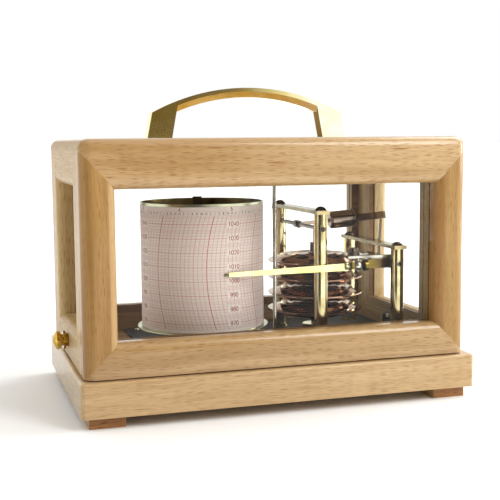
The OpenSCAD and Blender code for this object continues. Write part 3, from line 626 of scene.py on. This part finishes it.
def ribbon(mesh, path, width, wrap):
    """A flat stroke along path, which wrap lays on the drum."""
    sides = []
    for i, (u, v) in enumerate(path):
        before, after = path[max(i - 1, 0)], path[min(i + 1, len(path) - 1)]
        run = Vector((after[0] - before[0], after[1] - before[1])).normalized() * (width / 2)
        sides.append([mesh.verts.new(wrap(u + k * run.y, v - k * run.x)) for k in (1, -1)])
    for (a, b), (c, d) in zip(sides, sides[1:]):
        mesh.faces.new((a, b, d, c))


def write(mesh, number, day, z_mm, high, bold):
    """A number in strokes, centred on a day of the chart and a height."""
    axis_x, axis_y = drum_axis()
    wide = high * DIGIT_WIDE
    pitch = wide + high * DIGIT_SPACE
    start = -(len(number) - 1) * pitch / 2 - wide / 2
    turn = math.radians(SEAM_DEGREES + (day - FIRST_DAY) * DEGREES_A_DAY)
    radius = PAPER_RADIUS_MM + INK_LIFT_MM

    def wrap(u, v):
        angle = turn + u / radius
        x = axis_x / MM + radius * math.cos(angle)
        y = axis_y / MM + radius * math.sin(angle)
        return Vector((x, y, v)) * MM

    for place, digit in enumerate(number):
        for stroke in STROKES[digit]:
            path = [(start + place * pitch + u * wide, z_mm + (v - 0.5) * high) for u, v in stroke]
            ribbon(mesh, path, bold, wrap)


def print_numbers(name, material, marks):
    mesh = bmesh.new()
    for mark in marks:
        write(mesh, *mark)
    data = bpy.data.meshes.new(name)
    mesh.to_mesh(data)
    mesh.free()
    data.materials.append(material)
    piece = bpy.data.objects.new(name, data)
    bpy.context.scene.collection.objects.link(piece)
    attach(piece, BODY_OF["chart_paper"])


def on_chart(day, margin):
    """Whether a number at a day of the chart fits on the sheet."""
    last_day = FIRST_DAY + 360 / DEGREES_A_DAY
    return FIRST_DAY + margin < day < last_day - margin


def pressure_column(day):
    """A pressure on each bold line."""
    column = []
    for row in range(PRESSURE_ROWS):
        label = str(LOWEST_PRESSURE + PRESSURE_STEP * row)
        column.append((label, day, PRESSURE_LOW_MM + row * PRESSURE_STEP_MM, *PRESSURE_DIGITS))
    return column


def chart_numbers(materials):
    """Pressures and day numbers in red, and every second hour in dark ink."""
    pressures, hours = [], []
    for day in range(DAYS):
        if day % 2 == 0 and on_chart(day + NUMBER_DAY, PRESSURE_MARGIN):
            pressures += pressure_column(day + NUMBER_DAY)
        if on_chart(day + 0.5, DAY_MARGIN):
            pressures.append((str(day + 1), day + 0.5, DAY_ROW_MM, *DAY_DIGITS))
        for hour in range(2, 25, 2):
            if on_chart(day + hour / 24, HOUR_MARGIN):
                hours.append((str((hour - 1) % 12 + 1), day + hour / 24, HOUR_ROW_MM, *HOUR_DIGITS))
    print_numbers("pressure_numbers", materials["red_ink"], pressures)
    print_numbers("hour_numbers", materials["dark_ink"], hours)


# Which piece is made of what

def make_materials():
    return {
        # lean is the strength of the painted shade on the left end; edge adds a painted highlight and a
        # painted shade beside the window
        "beech_x": wood("beech_x", "X", lean=0.2, coat=1.0, gloss=0.16, sawn=rgb(158, 133, 90),
                        end_coat=0.06),
        "beech_y": wood("beech_y", "Y", rgb(192, 165, 118), rgb(170, 141, 94), offset=0.31, coat=0.08),
        "beech_side": wood("beech_side", "Z", rgb(196, 169, 121), rgb(173, 144, 97), offset=0.41, coat=0.1),
        "beech_z": wood("beech_z", "Z", rgb(178, 143, 88), rgb(150, 116, 64), offset=0.17, lean=0.24,
                        coat=0.35, edge=window_edge()),
        "beech_base": wood("beech_base", "X", rgb(204, 174, 131), rgb(188, 157, 112), offset=0.23,
                           lean=0.08, coat=0.6, flecks=0.5),
        "foot_wood": wood("foot_wood", "X", rgb(164, 114, 64), rgb(138, 92, 48), rgb(84, 44, 20), 0.5),
        "bead_wood": wood("bead_wood", "X", rgb(150, 112, 74), rgb(112, 78, 48), rgb(70, 46, 28), 0.7,
                          coat=0.0),
        "felt": felt("felt"),
        "black_plate": lacquer("black_plate", rgb(36, 33, 31), 0.45, level=0.2, coat=0.0, dusty=0.3),
        "polished_brass": metal("polished_brass", rgb(250, 240, 170), rgb(232, 214, 130), 0.1),
        "satin_brass": metal("satin_brass", rgb(228, 214, 170), rgb(188, 168, 118), 0.06, wear=0.05,
                             grain=TURNED_LINES),
        "dull_brass": metal("dull_brass", rgb(190, 176, 128), rgb(150, 132, 88), 0.24, speck=0.2),
        "handle_brass": handle_metal("handle_brass"),
        "bar_brass": bar_metal("bar_brass"),
        "carrier_brass": carrier_metal("carrier_brass"),
        "knob_brass": knob_metal("knob_brass"),
        "arm_brass": arm_metal("arm_brass"),
        "steel": metal("steel", rgb(196, 190, 180), rgb(140, 132, 120), 0.12),
        "dark_steel": metal("dark_steel", rgb(110, 94, 80), rgb(60, 48, 40), 0.1, speck=0.2),
        "blued_steel": metal("blued_steel", rgb(162, 144, 130), rgb(118, 100, 88), 0.08),
        "shaded_steel": metal("shaded_steel", rgb(124, 110, 84), rgb(84, 72, 54), 0.3),
        "clip_steel": metal("clip_steel", rgb(142, 128, 110), rgb(102, 88, 74), 0.36),
        "chrome": metal("chrome", rgb(250, 248, 246), rgb(232, 230, 228), 0.2, wear=0.04),
        "copper": metal("copper", rgb(176, 142, 116), rgb(138, 106, 86), 0.08, wear=0.05, bump=0.003),
        "drum_metal": can_metal("drum_metal"),
        "paper": chart("paper"),
        "red_ink": ink("red_ink", rgb(150, 44, 30)),
        "dark_ink": ink("dark_ink", rgb(84, 52, 46)),
        "glass": glass("glass"),
        "nib_black": lacquer("nib_black", rgb(112, 103, 56), 0.4),
    }


# Pieces that look different from the rest of their slot. All other beech is beech_x.
OWN_FINISH = {
    "front_stiles": "beech_z",
    "rear_stiles": "beech_z",
    "side_stiles": "beech_side",
    "side_rails": "beech_y",
    "base_board": "beech_base",
    "handle": "handle_brass",
    "knob_left": "knob_brass",
    "knob_right": "knob_brass",
    "cover_forks": "shaded_steel",
    "chart_clip": "clip_steel",
    "pen_bar": "bar_brass",
    "lever_bar": "bar_brass",
    "lever_arbor": "dark_steel",
    "lever_arm": "blued_steel",
    "steel_cylinder": "blued_steel",
    "arm_carrier": "carrier_brass",
    "gate_nut": "dark_steel",
    "pen_arm": "arm_brass",
}


def dress(materials):
    slots = {part["node"]: part["material_slot"] for part in frame["record"]["subparts"]}
    for name, piece in NODES.items():
        usual = "beech_x" if slots[name] == "beech" else slots[name]
        piece.data.materials.clear()
        piece.data.materials.append(materials[OWN_FINISH.get(name, usual)])


# Studio, in metres, degrees and watts

# Each lamp's place, size and power. All of them face AIM.
LAMPS = {
    "key": ((1.3, 0.5, 1.5), (0.9, 0.9), 16),
    "right_window": ((1.9, -0.3, 0.55), (0.7, 0.9), 24),
    "softbox": ((0.86, -1.22, 1.25), (0.62, 0.95), 14),
}
AIM = (0, 0, 0.1)

FLOOR_HALF, FLOOR_SQUARES = 40, 8
FLOOR_PALE, FLOOR_DULL = (0.9, 0.9, 0.9, 1), (0.88, 0.88, 0.88, 1)
# How far from the base the floor begins to glow, where it glows in full, and how much
GLOW_FROM, GLOW_FULL, FLOOR_GLOW = 0.02, 1.2, 0.55

# Sheets that only reflections show: their first and last angle from straight in front of the object, and
# the distance and height of each edge
FAR_FLOOR = (-62, 16, ((1.35, 0.002), (30, 0.002)))
FLAG = (-58, -14, ((0.42, 0.001), (0.7, 0.001), (0.7, 1.4)))
SHEET_STEPS = 12

WHITE = (1, 1, 1, 1)
BRIGHT_ROOM, DIM_ROOM = (1.18, 1.18, 1.15, 1), (0.17, 0.125, 0.065, 1)
# Where the dim room fades in and out: its left and right side in radians, its top in the ray's rise
ROOM_LEFT, ROOM_RIGHT, ROOM_TOP = (-1.0, -0.86), (0.28, 0.36), (0.74, 0.86)
# Light that matt surfaces get from the room, and what it gains to the right, to the rear and upwards
ROOM_LIGHT, ROOM_LEAN = 0.72, (0.26, -0.16, -0.14)


def make_lamp(name, place, size, power):
    data = bpy.data.lights.new(name, "AREA")
    data.shape = "RECTANGLE"
    data.size, data.size_y = size
    data.energy = power
    lamp = bpy.data.objects.new(name, data)
    lamp.location = place
    lamp.rotation_euler = (Vector(AIM) - Vector(place)).to_track_quat("-Z", "Y").to_euler()
    bpy.context.scene.collection.objects.link(lamp)


def stage_piece(name, mesh_maker, material):
    mesh = bpy.data.meshes.new(name)
    shape = bmesh.new()
    mesh_maker(shape)
    shape.to_mesh(mesh)
    shape.free()
    mesh.materials.append(material)
    piece = bpy.data.objects.new(name, mesh)
    bpy.context.scene.collection.objects.link(piece)
    return piece


def make_floor():
    """A pale floor that runs on past the horizon, so that it meets the white room without a line. It glows,
    a painted light, more the farther it is from the base.
    """
    s = Shader("floor")
    grain = s.noise(s.place(), scale=3, detail=2)
    x, y, _ = s.split(s.place())
    _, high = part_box("base_board")
    beyond = []
    for way, half in ((x, high[0]), (y, high[1])):
        beyond.append(s.math("MAXIMUM", s.minus(s.math("ABSOLUTE", way), half), 0.0))
    glow = s.ramp(s.length(*beyond), GLOW_FROM, GLOW_FULL, 0.0, FLOOR_GLOW)
    s.set(Base_Color=s.mix(grain, FLOOR_PALE, FLOOR_DULL), Roughness=0.8, Specular_IOR_Level=0.1,
          Emission_Color=WHITE, Emission_Strength=glow)

    def squares(shape):
        bmesh.ops.create_grid(shape, x_segments=FLOOR_SQUARES, y_segments=FLOOR_SQUARES, size=FLOOR_HALF)

    stage_piece("floor", squares, s.material)


def mirrored_sheet(name, colour, first, last, edges):
    """A matt sheet bent round the object, which only reflections show."""
    s = Shader(name)
    s.set(Base_Color=colour, Roughness=0.9)

    def bent_sheet(shape):
        rows = []
        for i in range(SHEET_STEPS + 1):
            side = math.radians(first + (last - first) * i / SHEET_STEPS)
            corners = [(far * math.sin(side), -far * math.cos(side), z) for far, z in edges]
            rows.append([shape.verts.new(corner) for corner in corners])
        for one, two in zip(rows, rows[1:]):
            for k in range(len(edges) - 1):
                shape.faces.new((one[k], two[k], two[k + 1], one[k + 1]))

    sheet = stage_piece(name, bent_sheet, s.material)
    sheet.visible_camera = False
    sheet.visible_diffuse = False
    sheet.visible_shadow = False
    sheet.visible_transmission = False


def make_world():
    """White to the eye. What the object reflects also has the dim room behind the camera."""
    world = bpy.data.worlds.new("studio")
    bpy.context.scene.world = world
    world.use_nodes = True
    s = Nodes(world.node_tree)
    s.tree.nodes.clear()
    x, y, z = s.split(s.add("TexCoord").outputs["Generated"])
    side = s.math("ARCTAN2", x, s.times(y, -1.0))
    room = s.times(s.ramp(side, *ROOM_LEFT), s.ramp(side, *ROOM_RIGHT, 1, 0))
    room = s.times(room, s.ramp(z, *ROOM_TOP, 1, 0))
    soft = ROOM_LIGHT
    for way, lean in zip((x, y, z), ROOM_LEAN):
        soft = s.math("MULTIPLY_ADD", way, lean, soft)
    rays = s.add("LightPath").outputs
    seen = s.mix(rays["Is Reflection Ray"], soft, s.mix(room, BRIGHT_ROOM, DIM_ROOM))
    seen = s.mix(rays["Is Camera Ray"], seen, WHITE)
    light = s.add("Background", Color=seen, Strength=1.0)
    s.add("OutputWorld", Surface=light.outputs[0])


def make_studio():
    make_floor()
    # The dim floor of the room beyond the white one
    mirrored_sheet("far_floor", rgb(70, 58, 44), *FAR_FLOOR)
    # A dark cloth on the floor and up in front of the camera, mostly on its left
    mirrored_sheet("flag", rgb(40, 32, 26), *FLAG)
    make_world()
    for name, (place, size, power) in LAMPS.items():
        make_lamp(name, place, size, power)


def main():
    make_camera()
    bpy.context.scene.view_settings.view_transform = "Standard"
    materials = make_materials()
    dress(materials)
    chart_numbers(materials)
    make_studio()


main()
